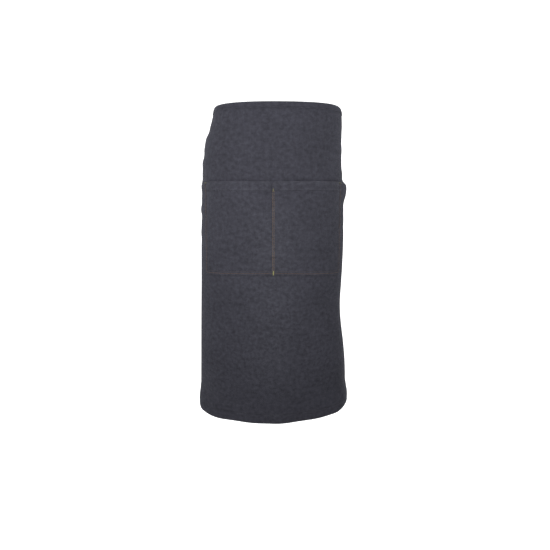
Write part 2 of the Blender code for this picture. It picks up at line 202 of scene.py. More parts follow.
def pocket_gap(s, t):
    lo, hi = DIVIDER_PITCH, POCKET_HALF - SEAM_SECOND - 0.002
    end = POCKET_BOTTOM - SEAM_SECOND - 0.002
    u = np.clip((np.abs(s) - lo) / (hi - lo), 0.0, 1.0)
    v = np.clip((end - t) / (end - POCKET_TOP), 0.0, 1.0)
    return POCKET_GAPE * np.sin(math.pi * u) ** 0.8 * np.sin(math.pi / 2 * v) ** 1.3


PATCH_BASE = GAP + 0.00015


def groove(d, width=0.0009, deep=0.00032):
    """A sewn row pulls the cloth down along its line, with a small swell either side."""
    return -deep * np.exp(-(d / width) ** 2) + 0.42 * deep * np.exp(-((np.abs(d) - 0.0024) / 0.0016) ** 2)


def pucker(along, d, amp=0.00016, pitch=0.0085, reach=0.0045):
    """The little ripple a sewn row leaves in cloth beside it."""
    return amp * (np.sin(2 * math.pi * along / pitch) + 0.5 * np.sin(2 * math.pi * along / (pitch * 0.61) + 1.1)) * np.exp(-(d / reach) ** 2)


def patch_top(s, t):
    """Outer face of the pocket patch above the skirt's outer face."""
    ds = POCKET_HALF - np.abs(s)
    db = POCKET_BOTTOM - t
    edge = np.minimum(ds, db)
    along = np.where(ds < db, t, s)
    out = PATCH_BASE + pocket_gap(s, t) + CLOTH
    out = out - 0.00045 * np.exp(-(edge / 0.0011) ** 2)                      # the turned edge is rounded
    out = out + groove(edge - SEAM_EDGE) + groove(edge - SEAM_SECOND) + pucker(along, edge - 0.006)
    out = out + 0.00022 * bump(edge, 0.0062, 0.0018)
    hem = t - POCKET_TOP
    out = out + 0.00040 * (1 - smooth((hem - POCKET_HEM - 0.0016) / 0.0016)) * smooth(hem / 0.0012)
    out = out + groove(hem - POCKET_HEM, 0.0010, 0.00045) + pucker(s, hem - 0.012, 0.00022, 0.0098, 0.010)
    mid = np.abs(s)
    lower = smooth((t - POCKET_TOP - 0.010) / 0.010)
    out = out + lower * (groove(mid - DIVIDER_PITCH / 2, 0.0008, 0.00036) + pucker(t, mid - 0.004, 0.00016, 0.0083, 0.005))
    return out


def patch_thick(s, t):
    ds = POCKET_HALF - np.abs(s)
    db = POCKET_BOTTOM - t
    hem = t - POCKET_TOP
    two = 1 - smooth((hem - POCKET_HEM - 0.001) / 0.0015)
    return CLOTH + 0.0009 * two * smooth(np.minimum(ds, 0.02) / 0.02) * smooth((np.abs(s) - 0.004) / 0.010)


def skirt_top(s, t):
    """Outer face of the skirt itself: flat but for the sewn hems."""
    d_side = HALF - np.abs(s)
    d_low = LENGTH - t
    out = groove(d_side - SIDE_HEM) + pucker(t, d_side - SIDE_HEM * 0.6, 0.00025, 0.0105, 0.007) * smooth((t - 0.02) / 0.02)
    out = out + groove(d_low - BOTTOM_HEM, 0.0011, 0.00045)
    rope = np.sin(2 * math.pi * (s + 0.55 * t) / 0.0125) + 0.5 * np.sin(2 * math.pi * (s + 0.4 * t) / 0.0081 + 0.6)
    out = out + 0.00032 * rope * bump(d_low, 0.011, 0.0085) + 0.0004 * bump(d_low, 0.012, 0.010)
    return out


def skirt_thick(s, t):
    """One layer, and the turned hems inside."""
    d = np.minimum(HALF - np.abs(s) - SIDE_HEM, LENGTH - t - BOTTOM_HEM)
    return 0.0012 + 0.0010 * (1 - smooth((d + 0.0002) / 0.0016)) * smooth((t - 0.016) / 0.002)


# ------------------------------------------------------------------ mesh helpers
coll = bpy.context.scene.collection
MATS = {}


def new_mesh(name, verts, faces, mats, mat_index=None, uv=None, smooth_faces=True, wear_and_highlight=None):
    me = bpy.data.meshes.new(name)
    me.from_pydata([tuple(map(float, v)) for v in verts], [], [tuple(int(k) for k in f) for f in faces])
    for m in mats:
        me.materials.append(MATS[m])
    if mat_index is not None:
        me.polygons.foreach_set("material_index", np.asarray(mat_index, np.int32))
    me.polygons.foreach_set("use_smooth", np.full(len(me.polygons), smooth_faces))
    if uv is not None:
        layer = me.uv_layers.new(name="cloth")
        loops = np.zeros(len(me.loops), np.int32)
        me.loops.foreach_get("vertex_index", loops)
        layer.data.foreach_set("uv", np.asarray(uv, np.float32)[loops].ravel())
    if wear_and_highlight is not None:
        at = me.attributes.new("wear_and_highlight", "FLOAT", "POINT")
        at.data.foreach_set("value", np.asarray(wear_and_highlight, np.float32))
    me.validate(clean_customdata=False)
    me.update()
    ob = bpy.data.objects.new(name, me)
    coll.objects.link(ob)
    return ob


def closed_sheet(name, outer, inner, left, right, uv, mats=("denim", "denim_reverse"), top=None, bottom=None, wear_and_highlight=None):
    """A thin closed solid. outer and inner are (rows, columns, 3); left and right (rows, 3) round its side
    edges, top and bottom (columns, 3), where given, round its ends. uv is (rows, columns, 2)."""
    R, C = outer.shape[:2]
    verts = [outer.reshape(-1, 3), inner.reshape(-1, 3), left, right]
    uvs = [uv.reshape(-1, 2), uv.reshape(-1, 2), uv[:, 0], uv[:, -1]]
    w = np.zeros((R, C)) if wear_and_highlight is None else wear_and_highlight
    ws = [w.ravel(), w.ravel() * 0.5, w[:, 0], w[:, -1]]
    n = R * C
    O = lambda r, c: r * C + c
    I = lambda r, c: n + r * C + c
    L = lambda r: 2 * n + r
    Rr = lambda r: 2 * n + R + r
    faces, idx = [], []

    def add(fs, k):
        faces.extend(fs)
        idx.extend([k] * len(fs))
    for r in range(R - 1):
        add([(O(r, c), O(r + 1, c), O(r + 1, c + 1), O(r, c + 1)) for c in range(C - 1)], 0)
        add([(I(r, c), I(r, c + 1), I(r + 1, c + 1), I(r + 1, c)) for c in range(C - 1)], 1)
        add([(L(r), L(r + 1), O(r + 1, 0), O(r, 0)), (I(r, 0), I(r + 1, 0), L(r + 1), L(r)),
             (O(r, C - 1), O(r + 1, C - 1), Rr(r + 1), Rr(r)), (Rr(r), Rr(r + 1), I(r + 1, C - 1), I(r, C - 1))], 0)
    count = 2 * n + 2 * R
    for rows, row, flip in ((top, 0, True), (bottom, R - 1, False)):
        fs = []
        if rows is None:
            fs += [(O(row, c + 1), O(row, c), I(row, c), I(row, c + 1)) for c in range(C - 1)]
            fs += [(O(row, 0), L(row), I(row, 0)), (O(row, C - 1), I(row, C - 1), Rr(row))]
        else:
            verts.append(rows)
            uvs.append(uv[row])
            ws.append(w[row])
            M = lambda c, b=count: b + c
            fs += [(O(row, c + 1), O(row, c), M(c), M(c + 1)) for c in range(C - 1)]
            fs += [(M(c + 1), M(c), I(row, c), I(row, c + 1)) for c in range(C - 1)]
            fs += [(O(row, 0), L(row), M(0)), (L(row), I(row, 0), M(0)),
                   (O(row, C - 1), M(C - 1), Rr(row)), (M(C - 1), I(row, C - 1), Rr(row))]
            count += C
        add([tuple(reversed(f)) for f in fs] if flip else fs, 0)
    ob = new_mesh(name, np.concatenate(verts), faces, list(mats), idx, np.concatenate(uvs), wear_and_highlight=np.concatenate(ws))
    if len(mats) == 1:
        ob.data.polygons.foreach_set("material_index", np.zeros(len(ob.data.polygons), np.int32))
    return ob


def sharpen(ob, t):
    """Marks as sharp the edges that lie t metres down the cloth: the flat ends where two lengths meet."""
    me = ob.data
    loops = np.zeros(len(me.loops), np.int32)
    me.loops.foreach_get("vertex_index", loops)
    uv = np.zeros(len(me.loops) * 2, np.float32)
    me.uv_layers["cloth"].data.foreach_get("uv", uv)
    ok = np.zeros(len(me.vertices), bool)
    ok[loops] = np.abs(uv.reshape(-1, 2)[:, 1] + t) < 1e-5
    at = me.attributes.get("sharp_edge") or me.attributes.new("sharp_edge", "BOOLEAN", "EDGE")
    at.data.foreach_set("value", [bool(ok[e.vertices[0]] and ok[e.vertices[1]]) for e in me.edges])


def stations(lo, hi, step, *marks):
    """Even positions from lo to hi, closer together round each mark."""
    out = list(np.linspace(lo, hi, max(2, int(round((hi - lo) / step)) + 1)))
    fine = []
    for m in marks:
        fine += [m + d for d in (-0.0034, -0.0024, -0.0015, -0.0008, 0.0, 0.0008, 0.0015, 0.0024, 0.0034)]
    fine = sorted(f for f in fine if lo + 0.0004 < f < hi - 0.0004)
    out = [lo, hi] + fine + [x for x in out[1:-1] if all(abs(x - f) > 0.0011 for f in fine)]
    out = sorted(out)
    keep = [out[0]]
    for x in out[1:]:
        if x - keep[-1] > 0.00035:
            keep.append(x)
    keep[-1] = hi
    return np.array(keep)


def cloth_piece(name, S, T, top, thick, round_top=False, round_bottom=False, wear_and_highlight=None, mats=("denim", "denim_reverse")):
    SS, TT = np.meshgrid(S, T)
    off, th = top(SS, TT), thick(SS, TT)
    half = 0.5 * th
    outer, inner = cloth(SS, TT, off), cloth(SS, TT, off - th)
    left = cloth(S[0] - half[:, 0], T, off[:, 0] - half[:, 0])
    right = cloth(S[-1] + half[:, -1], T, off[:, -1] - half[:, -1])
    rt = cloth(S, T[0] - half[0], off[0] - half[0]) if round_top else None
    rb = cloth(S, T[-1] + half[-1], off[-1] - half[-1]) if round_bottom else None
    w = wear_and_highlight(SS, TT) if wear_and_highlight else None
    return closed_sheet(name, outer, inner, left, right, np.stack([SS, -TT], -1), mats, rt, rb, w)


def stitch_mesh(name, surface, segs, mat, radius=0.00036, sink=0.00034, rise=0.00024, rings=5, sides=6, inward=False):
    """Separate stitches. surface(a, b, off) gives points; each seg is (a0, b0, a1, b1) in its own
    coordinates. A stitch rises out of the cloth at one end, lies on it, and goes back in."""
    segs = np.asarray(segs, float)
    K = len(segs)
    u = np.linspace(0.0, 1.0, rings)
    a = segs[:, 0, None] + (segs[:, 2] - segs[:, 0])[:, None] * u
    b = segs[:, 1, None] + (segs[:, 3] - segs[:, 1])[:, None] * u
    sg = -1.0 if inward else 1.0
    hump = np.sin(math.pi * u) ** 0.55
    hump[0] = hump[-1] = 0.0
    off = sg * (-sink + (sink + rise) * hump)[None, :] * np.ones((K, 1))
    c = surface(a, b, off)
    n = surface(a, b, off + sg * 0.0005) - c
    n /= np.linalg.norm(n, axis=-1, keepdims=True)
    t = np.gradient(c, axis=1)
    t /= np.linalg.norm(t, axis=-1, keepdims=True)
    bn = np.cross(n, t)
    bn /= np.linalg.norm(bn, axis=-1, keepdims=True)
    n = np.cross(t, bn)
    ph = np.linspace(0.0, 2 * math.pi, sides, endpoint=False)
    rad = radius * (0.45 + 0.55 * np.sin(math.pi * u) ** 0.5)
    ring = (c[:, :, None, :] + rad[None, :, None, None] * (np.cos(ph)[None, None, :, None] * n[:, :, None, :]
                                                            + np.sin(ph)[None, None, :, None] * bn[:, :, None, :]))
    verts = ring.reshape(-1, 3)
    faces = []
    for k in range(K):
        base = k * rings * sides
        for r in range(rings - 1):
            for q in range(sides):
                q2 = (q + 1) % sides
                faces.append((base + r * sides + q, base + r * sides + q2, base + (r + 1) * sides + q2, base + (r + 1) * sides + q))
        faces.append(tuple(base + q for q in reversed(range(sides))))
        faces.append(tuple(base + (rings - 1) * sides + q for q in range(sides)))
    length = np.hypot(segs[:, 2] - segs[:, 0], segs[:, 3] - segs[:, 1])
    uu = np.repeat((np.cumsum(length) - length)[:, None] + length[:, None] * u, sides, axis=1).reshape(-1)
    vv = np.tile(ph / (2 * math.pi) * 2 * math.pi * radius, K * rings)
    return new_mesh(name, verts, faces, [mat], None, np.stack([uu, vv], -1))


def row(points, stitch=0.0030, gap=0.0005, skip=0.0):
    """Stitches laid end to end along a line of (a, b) points, a and b in metres."""
    p = np.asarray(points, float)
    run = np.concatenate([[0.0], np.cumsum(np.hypot(*np.diff(p, axis=0).T))])
    n = max(1, int((run[-1] - skip + gap) / (stitch + gap)))
    pitch = (run[-1] + gap) / n
    at = np.arange(n) * pitch
    a0, b0 = np.interp(at, run, p[:, 0]), np.interp(at, run, p[:, 1])
    a1, b1 = np.interp(at + pitch - gap, run, p[:, 0]), np.interp(at + pitch - gap, run, p[:, 1])
    return np.stack([a0, b0, a1, b1], -1)


def on(top):
    return lambda a, b, off: cloth(a, b, top(a, b) + off)


# ------------------------------------------------------------------ materials


def nodes_of(name):
    m = bpy.data.materials.new(name)
    m.use_nodes = True
    nt = m.node_tree
    for n in list(nt.nodes):
        nt.nodes.remove(n)
    out = nt.nodes.new("ShaderNodeOutputMaterial")
    p = nt.nodes.new("ShaderNodeBsdfPrincipled")
    nt.links.new(p.outputs["BSDF"], out.inputs["Surface"])
    MATS[name] = m
    return m, nt, p


def node(nt, kind, **values):
    n = nt.nodes.new(kind)
    for k, v in values.items():
        if hasattr(n, k):
            setattr(n, k, v)
        else:
            n.inputs[k].default_value = v
    return n


def math_node(nt, op, a, b=None, clamp=False):
    n = nt.nodes.new("ShaderNodeMath")
    n.operation = op
    n.use_clamp = clamp
    for k, v in ((0, a), (1, b)):
        if v is None:
            continue
        if hasattr(v, "is_linked") or hasattr(v, "links"):
            nt.links.new(v, n.inputs[k])
        else:
            n.inputs[k].default_value = v
    return n.outputs[0]


def noise(nt, vec, scale, detail=2.0, rough=0.5, stretch=(1.0, 1.0, 1.0), shift=(0.0, 0.0, 0.0), distortion=0.0):
    mp = nt.nodes.new("ShaderNodeMapping")
    mp.inputs["Scale"].default_value = stretch
    mp.inputs["Location"].default_value = shift
    nt.links.new(vec, mp.inputs["Vector"])
    n = nt.nodes.new("ShaderNodeTexNoise")
    n.inputs["Scale"].default_value = scale
    n.inputs["Detail"].default_value = detail
    n.inputs["Roughness"].default_value = rough
    n.inputs["Distortion"].default_value = distortion
    nt.links.new(mp.outputs[0], n.inputs["Vector"])
    return n.outputs[0]


def centred(nt, value, amount):
    """(value - 0.5) * amount"""
    return math_node(nt, 'MULTIPLY', math_node(nt, 'SUBTRACT', value, 0.5), amount)


def denim(name, colour, worn_and_highlight_colour, level, mottle=1.0, sheen=0.05):
    """Twill denim. The cloth map is in metres, u across and v up, so it is turned into millimetres first."""
    m, nt, p = nodes_of(name)
    uv = nt.nodes.new("ShaderNodeUVMap")
    uv.uv_map = "cloth"
    mm = nt.nodes.new("ShaderNodeVectorMath")
    mm.operation = 'SCALE'
    mm.inputs["Scale"].default_value = 1000.0
    nt.links.new(uv.outputs[0], mm.inputs[0])
    vec = mm.outputs[0]
    # twill lines, about 0.9 mm apart, broken up by the yarns
    wave = nt.nodes.new("ShaderNodeTexWave")
    wave.wave_type, wave.bands_direction, wave.wave_profile = 'BANDS', 'DIAGONAL', 'SIN'
    wave.inputs["Scale"].default_value = 0.49
    wave.inputs["Distortion"].default_value = 2.2
    wave.inputs["Detail"].default_value = 2.0
    wave.inputs["Detail Scale"].default_value = 1.6
    nt.links.new(vec, wave.inputs["Vector"])
    twill = wave.outputs["Fac"]
    yarn = noise(nt, vec, 1.0, 1.0, 0.6, (0.55, 1.5, 1.0), (3.0, 7.0, 0.0))
    weft = noise(nt, vec, 1.0, 2.0, 0.55, (0.076, 0.160, 1.0), (11.0, 2.0, 0.0))          # slubs across
    warp = noise(nt, vec, 1.0, 2.0, 0.55, (0.65, 0.045, 1.0), (0.0, 31.0, 0.0))         # slubs up and down
    blot = noise(nt, vec, 1.0, 2.0, 0.55, (0.106, 0.106, 1.0), (5.0, 17.0, 3.0), 0.3)     # heathered mottle
    wide = noise(nt, vec, 1.0, 2.0, 0.5, (0.011, 0.014, 1.0), (2.0, 9.0, 5.0))          # uneven wash
    total = math_node(nt, 'ADD', centred(nt, twill, 0.20), centred(nt, yarn, 0.34 * mottle))
    total = math_node(nt, 'ADD', total, centred(nt, weft, 0.46 * mottle))
    total = math_node(nt, 'ADD', total, centred(nt, warp, 0.30 * mottle))
    total = math_node(nt, 'ADD', total, centred(nt, blot, 0.92 * mottle))
    total = math_node(nt, 'ADD', total, centred(nt, wide, 0.40))
    # Per-point attribute, mixed towards the paler colour: real rubbing at edges and folds, and painted highlight along
    # the pocket's top fold and down the middle of the front.
    at = nt.nodes.new("ShaderNodeAttribute")
    at.attribute_name = "wear_and_highlight"
    wear_and_highlight_amount = math_node(nt, 'MULTIPLY', at.outputs["Fac"], math_node(nt, 'ADD', centred(nt, blot, 1.6), 1.0))
    gain = math_node(nt, 'MAXIMUM', math_node(nt, 'ADD', total, 1.0), 0.25)
    mix = nt.nodes.new("ShaderNodeMix")
    mix.data_type = 'RGBA'
    mix.inputs[6].default_value = (*colour, 1.0)
    mix.inputs[7].default_value = (*worn_and_highlight_colour, 1.0)
    lim = math_node(nt, 'MULTIPLY', wear_and_highlight_amount, 1.0, True)
    nt.links.new(lim, mix.inputs[0])
    sc = nt.nodes.new("ShaderNodeVectorMath")
    sc.operation = 'SCALE'
    nt.links.new(mix.outputs[2], sc.inputs[0])
    nt.links.new(gain, sc.inputs["Scale"])
    nt.links.new(sc.outputs[0], p.inputs["Base Color"])
    rough = math_node(nt, 'ADD', centred(nt, blot, -0.10), 0.90)
    nt.links.new(rough, p.inputs["Roughness"])
    height = math_node(nt, 'ADD', math_node(nt, 'MULTIPLY', twill, 0.45), math_node(nt, 'MULTIPLY', yarn, 0.6))
    height = math_node(nt, 'ADD', height, math_node(nt, 'MULTIPLY', weft, 0.9))
    height = math_node(nt, 'ADD', height, math_node(nt, 'MULTIPLY', warp, 0.4))
    bp = nt.nodes.new("ShaderNodeBump")
    bp.inputs["Strength"].default_value = 0.75
    bp.inputs["Distance"].default_value = 0.00045
    nt.links.new(height, bp.inputs["Height"])
    nt.links.new(bp.outputs[0], p.inputs["Normal"])
    p.inputs["Specular IOR Level"].default_value = level
    p.inputs["Sheen Weight"].default_value = sheen
    p.inputs["Sheen Roughness"].default_value = 0.45
    p.inputs["Sheen Tint"].default_value = (0.55, 0.6, 0.75, 1.0)
    return m


def sewing_thread(name, colour, dark, rough, level):
    """Twisted two-ply thread: the map is in metres, u along the stitch and v round it."""
    m, nt, p = nodes_of(name)
    uv = nt.nodes.new("ShaderNodeUVMap")
    uv.uv_map = "cloth"
    mm = nt.nodes.new("ShaderNodeVectorMath")
    mm.operation = 'SCALE'
    mm.inputs["Scale"].default_value = 1000.0
    nt.links.new(uv.outputs[0], mm.inputs[0])
    wave = nt.nodes.new("ShaderNodeTexWave")
    wave.wave_type, wave.bands_direction = 'BANDS', 'DIAGONAL'
    wave.inputs["Scale"].default_value = 0.9
    wave.inputs["Distortion"].default_value = 0.6
    nt.links.new(mm.outputs[0], wave.inputs["Vector"])
    shade = noise(nt, mm.outputs[0], 1.0, 2.0, 0.6, (0.24, 0.5, 1.0))
    fade = noise(nt, mm.outputs[0], 1.0, 1.0, 0.5, (0.035, 0.2, 1.0), (4.0, 0.0, 0.0))
    f = math_node(nt, 'ADD', math_node(nt, 'MULTIPLY', wave.outputs["Fac"], 0.35), math_node(nt, 'MULTIPLY', shade, 0.55))
    f = math_node(nt, 'ADD', f, centred(nt, fade, 0.8), True)
    mix = nt.nodes.new("ShaderNodeMix")
    mix.data_type = 'RGBA'
    mix.inputs[6].default_value = (*dark, 1.0)
    mix.inputs[7].default_value = (*colour, 1.0)
    nt.links.new(f, mix.inputs[0])
    nt.links.new(mix.outputs[2], p.inputs["Base Color"])
    nt.links.new(math_node(nt, 'ADD', centred(nt, shade, 0.2), rough), p.inputs["Roughness"])
    bp = nt.nodes.new("ShaderNodeBump")
    bp.inputs["Strength"].default_value = 0.6
    bp.inputs["Distance"].default_value = 0.0001
    nt.links.new(wave.outputs["Fac"], bp.inputs["Height"])
    nt.links.new(bp.outputs[0], p.inputs["Normal"])
    p.inputs["Specular IOR Level"].default_value = level
    return m


DENIM_RGB = (0.0342, 0.0340, 0.0438)
denim("denim", DENIM_RGB, (0.060, 0.061, 0.072), 0.16)
denim("denim_reverse", (0.074, 0.077, 0.088), (0.11, 0.115, 0.125), 0.16, 0.8)
denim("tie_denim", (0.037, 0.0372, 0.047), (0.064, 0.065, 0.076), 0.16, 0.8)
sewing_thread("tan_thread", (0.255, 0.168, 0.085), (0.148, 0.094, 0.046), 0.55, 0.3)
sewing_thread("bright_thread", (0.272, 0.262, 0.108), (0.165, 0.156, 0.062), 0.55, 0.3)
sewing_thread("olive_thread", (0.122, 0.114, 0.062), (0.076, 0.072, 0.042), 0.55, 0.3)
sewing_thread("dull_thread", (0.072, 0.055, 0.045), (0.042, 0.035, 0.031), 0.6, 0.25)
sewing_thread("faded_thread", (0.165, 0.094, 0.047), (0.092, 0.055, 0.031), 0.6, 0.25)
sewing_thread("dark_thread", (0.020, 0.020, 0.026), (0.011, 0.011, 0.015), 0.6, 0.25)

# ------------------------------------------------------------------ skirt
S_SKIRT = stations(-HALF, HALF, 0.0042, -HALF + SIDE_HEM, HALF - SIDE_HEM)
T_UP = stations(0.0030, T_SPLIT, 0.0042)
T_LOW = stations(T_SPLIT, LENGTH, 0.0042, LENGTH - BOTTOM_HEM)


def front_painted_highlight(s, t):
    """Painted highlight: the front is paler down the middle, where the light from the front falls most."""
    return 0.15 * bump(s, -0.004, 0.058) * smooth((t - 0.20) / 0.10) * (1 - smooth((t - 0.60) / 0.12))


def skirt_wear_and_painted_highlight(s, t):
    """Rubbed paler along folds and hems, and a painted highlight a little down the middle of the front."""
    d_side, d_low = HALF - np.abs(s), LENGTH - t
    w = 0.5 * np.exp(-(np.minimum(d_side, d_low) / 0.0022) ** 2)
    w = w + 0.16 * bump(d_low, BOTTOM_HEM, 0.0022) + 0.16 * bump(d_side, SIDE_HEM, 0.0022)
    return w + front_painted_highlight(s, t)


skirt_up = cloth_piece("skirt_cloth_upper", S_SKIRT, T_UP, skirt_top, skirt_thick, wear_and_highlight=skirt_wear_and_painted_highlight)
skirt_low = cloth_piece("skirt_cloth_lower", S_SKIRT, T_LOW, skirt_top, skirt_thick, round_bottom=True, wear_and_highlight=skirt_wear_and_painted_highlight)
for ob in (skirt_up, skirt_low):
    sharpen(ob, T_SPLIT)
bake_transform(skirt_up)
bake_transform(skirt_low)
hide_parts("upper_skirt", "middle_skirt")
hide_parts("lower_skirt")

# hems' rows
for sign, side in ((-1, "left"), (1, "right")):
    s = sign * (HALF - SIDE_HEM)
    up = stitch_mesh(side + "_hem_row_upper", on(skirt_top), row([(s, 0.0175), (s, T_SPLIT - 0.0008)]), "dark_thread")
    low = stitch_mesh(side + "_hem_row_lower", on(skirt_top), row([(s, T_SPLIT + 0.0002), (s, LENGTH - 0.003)]), "dark_thread")
    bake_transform(up)
    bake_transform(low)
    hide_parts(side + "_hem_stitch_upper", side + "_hem_stitch_middle")
    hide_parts(side + "_hem_stitch_lower")
hem = stitch_mesh("bottom_hem_row", on(skirt_top), row([(-HALF + 0.0135, LENGTH - BOTTOM_HEM), (HALF - 0.0135, LENGTH - BOTTOM_HEM)]), "dark_thread")
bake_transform(hem)
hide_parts("bottom_hem_stitch")

# ------------------------------------------------------------------ pocket patch
S_PATCH = stations(-POCKET_HALF, POCKET_HALF, 0.0040, -POCKET_HALF + SEAM_EDGE, -POCKET_HALF + SEAM_SECOND,
                   -DIVIDER_PITCH / 2, DIVIDER_PITCH / 2, POCKET_HALF - SEAM_SECOND, POCKET_HALF - SEAM_EDGE)
T_PATCH = stations(POCKET_TOP, POCKET_BOTTOM, 0.0040, POCKET_TOP + 0.0012, POCKET_TOP + POCKET_HEM,
                   POCKET_BOTTOM - SEAM_SECOND, POCKET_BOTTOM - SEAM_EDGE)


def patch_wear_and_painted_highlight(s, t):
    # Painted highlight along the pocket's top fold and down the middle of the front; the rest is paler along the
    # patch's edges, seam swells and divider.
    ds, db, hem_d = POCKET_HALF - np.abs(s), POCKET_BOTTOM - t, t - POCKET_TOP
    w = 0.12 * np.exp(-(hem_d / 0.0016) ** 2) + 0.15 * np.exp(-((hem_d - 0.004) / 0.0045) ** 2) + 0.30 * np.exp(-(np.minimum(ds, db) / 0.0018) ** 2)
    w = w + 0.22 * bump(hem_d, POCKET_HEM - 0.0026, 0.0016) + 0.15 * bump(np.minimum(ds, db), 0.0062, 0.0016)
    return w + front_painted_highlight(s, t) + 0.18 * bump(np.abs(s), 0.0, 0.0018) * smooth((t - POCKET_TOP) / 0.01)


patch = cloth_piece("pocket_cloth", S_PATCH, T_PATCH, patch_top, patch_thick, round_top=True, round_bottom=True, wear_and_highlight=patch_wear_and_painted_highlight)
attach(patch, "skirt")
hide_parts("pocket_patch")


def u_path(inset):
    x, y0, y1 = POCKET_HALF - inset, POCKET_TOP + 0.004, POCKET_BOTTOM - inset
    r = 0.002
    turn = [(math.cos(k * math.pi / 8), math.sin(k * math.pi / 8)) for k in range(5)]
    left = [(-x, y0)] + [(-(x - r) - r * c, y1 - r + r * q) for c, q in turn]
    right = [((x - r) + r * c, y1 - r + r * q) for c, q in reversed(turn)] + [(x, y0)]
    return left + right


seams = {
    "pocket_edge_row": (row(u_path(SEAM_EDGE)), "faded_thread", ["pocket_edge_seam"]),
    "pocket_inner_row": (row(u_path(SEAM_SECOND)), "dull_thread", ["pocket_inner_seam"]),
    "left_pocket_hem_row": (row([(-POCKET_HALF + SEAM_SECOND + 0.002, POCKET_TOP + POCKET_HEM), (-DIVIDER_PITCH / 2 - 0.002, POCKET_TOP + POCKET_HEM)]), "dark_thread", ["left_pocket_hem_stitch"]),
    "right_pocket_hem_row": (row([(DIVIDER_PITCH / 2 + 0.002, POCKET_TOP + POCKET_HEM), (POCKET_HALF - SEAM_SECOND - 0.002, POCKET_TOP + POCKET_HEM)]), "dark_thread", ["right_pocket_hem_stitch"]),
    "left_divider_row": (row([(-DIVIDER_PITCH / 2, POCKET_TOP + POCKET_HEM + 0.001), (-DIVIDER_PITCH / 2, POCKET_BOTTOM - SEAM_EDGE - 0.0062)]), "tan_thread", ["divider_stitch_left"]),
    "right_divider_row": (row([(DIVIDER_PITCH / 2, POCKET_TOP + POCKET_HEM + 0.001), (DIVIDER_PITCH / 2, POCKET_BOTTOM - SEAM_EDGE - 0.0062)]), "tan_thread", ["divider_stitch_right"]),
}
for name, (segs, mat, cad) in seams.items():
    ob = stitch_mesh(name, on(patch_top), segs, mat)
    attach(ob, "skirt")
    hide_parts(*cad)


def tack_segs(s, t, long, wide, n, upright=False):
    """A bar tack: close stitches laid across its width, leaning alternately."""
    out = []
    for k in range(n):
        q = -long / 2 + long * (k + 0.5) / n
        lean = 0.00035 * (1 if k % 2 else -1)
        w = wide / 2 * (1.0 + 0.10 * math.sin(7.3 * k + s * 90))
        out.append((s - w, t + q - lean, s + w, t + q + lean) if upright else (s + q - lean, t - w, s + q + lean, t + w))
    return out


for name, s, t, long, wide, mat, upright, cad in (
        ("divider_top_tack", 0.0, POCKET_TOP + POCKET_HEM - 0.0015, 0.0060, 0.0038, "olive_thread", True, "divider_top_bar_tack"),
        ("divider_bottom_tack", 0.0, POCKET_BOTTOM - SEAM_EDGE - 0.0008, 0.0098, 0.0040, "bright_thread", True, "divider_bottom_bar_tack"),
        ("left_corner_tack", -POCKET_HALF + 0.0065, POCKET_TOP + 0.0018, 0.0100, 0.0022, "olive_thread", False, "left_pocket_bar_tack"),
        ("right_corner_tack", POCKET_HALF - 0.0065, POCKET_TOP + 0.0018, 0.0100, 0.0022, "olive_thread", False, "right_pocket_bar_tack")):
    ob = stitch_mesh(name, on(patch_top), tack_segs(s, t, long, wide, int(long / 0.00052), upright), mat, radius=0.00036, rise=0.00050, sink=0.0004)
    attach(ob, "skirt")
    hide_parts(cad)

# ------------------------------------------------------------------ waistband
BAND_OUT = GAP + BAND_CLOTH
BAND_IN = -(CLOTH + GAP + BAND_CLOTH)
MID, RAD = (BAND_OUT + BAND_IN) / 2, (BAND_OUT - BAND_IN) / 2


def swell(t):
    """The band stands proud between its top fold and its sewn row, and turns in at the lower edge."""
    return 0.00055 * bump(t, 0.0062, 0.0042) + groove(np.asarray(t) - (BAND - 0.0022), 0.0008, 0.00034) - 0.0004 * np.exp(-((BAND - np.asarray(t)) / 0.0006) ** 2)


def band_profile():
    """(t, off) of the band's outer face, from its front lower edge over the top to its back lower edge."""
    pts = [(BAND - 0.0002, BAND_OUT)]
    pts += [(float(t), BAND_OUT + float(swell(t))) for t in np.linspace(BAND - 0.0008, 0.0032, 17)]
    pts += [(RAD - RAD * math.sin(math.radians(k)), MID + (RAD + 0.0002) * math.cos(math.radians(k))) for k in range(12, 170, 12)]
    pts += [(float(t), BAND_IN - 0.6 * float(swell(t))) for t in np.linspace(0.0032, BAND - 0.0008, 12)]
    pts += [(BAND - 0.0002, BAND_IN)]
    return np.array(pts)


def band_inner(profile):
    """The same line one cloth's thickness further in."""
    d = np.gradient(profile, axis=0)
    d /= np.linalg.norm(d, axis=1, keepdims=True)
    return profile + BAND_CLOTH * np.stack([-d[:, 1], d[:, 0]], -1) * -1.0


def band_point(s, t, off):
    p = cloth(s, np.maximum(t, 0.0), off)
    p[..., 2] = -t + lift(s + 0.0 * t, np.maximum(t, 0.0) + 0.0 * s)
    return p


prof = band_profile()
inn = band_inner(prof)
# whichever way the normal came out, the inner line is the one nearer the middle of the fold
if abs(inn[3, 1] - MID) > abs(prof[3, 1] - MID):
    inn = 2 * prof - inn
S_BAND = stations(-HALF - 0.0006, HALF + 0.0006, 0.0042)
SB, K = np.meshgrid(S_BAND, np.arange(len(prof)))
wrinkle = 0.00016 * np.sin(2 * math.pi * S_BAND / 0.0094) + 0.00010 * np.sin(2 * math.pi * S_BAND / 0.0057 + 1.0)
to, oo = prof[K, 0], prof[K, 1]
sgn = np.where(oo > MID, 1.0, -1.0)
oo = oo + sgn * wrinkle[None, :] * bump(to, 0.0075, 0.005)
outer = band_point(SB, to, oo)
inner_ = band_point(SB, inn[K, 0], inn[K, 1] + sgn * wrinkle[None, :] * bump(to, 0.0075, 0.005))
mid_l = band_point(S_BAND[0] - 0.0004, 0.5 * (prof[:, 0] + inn[:, 0]), 0.5 * (prof[:, 1] + inn[:, 1]))
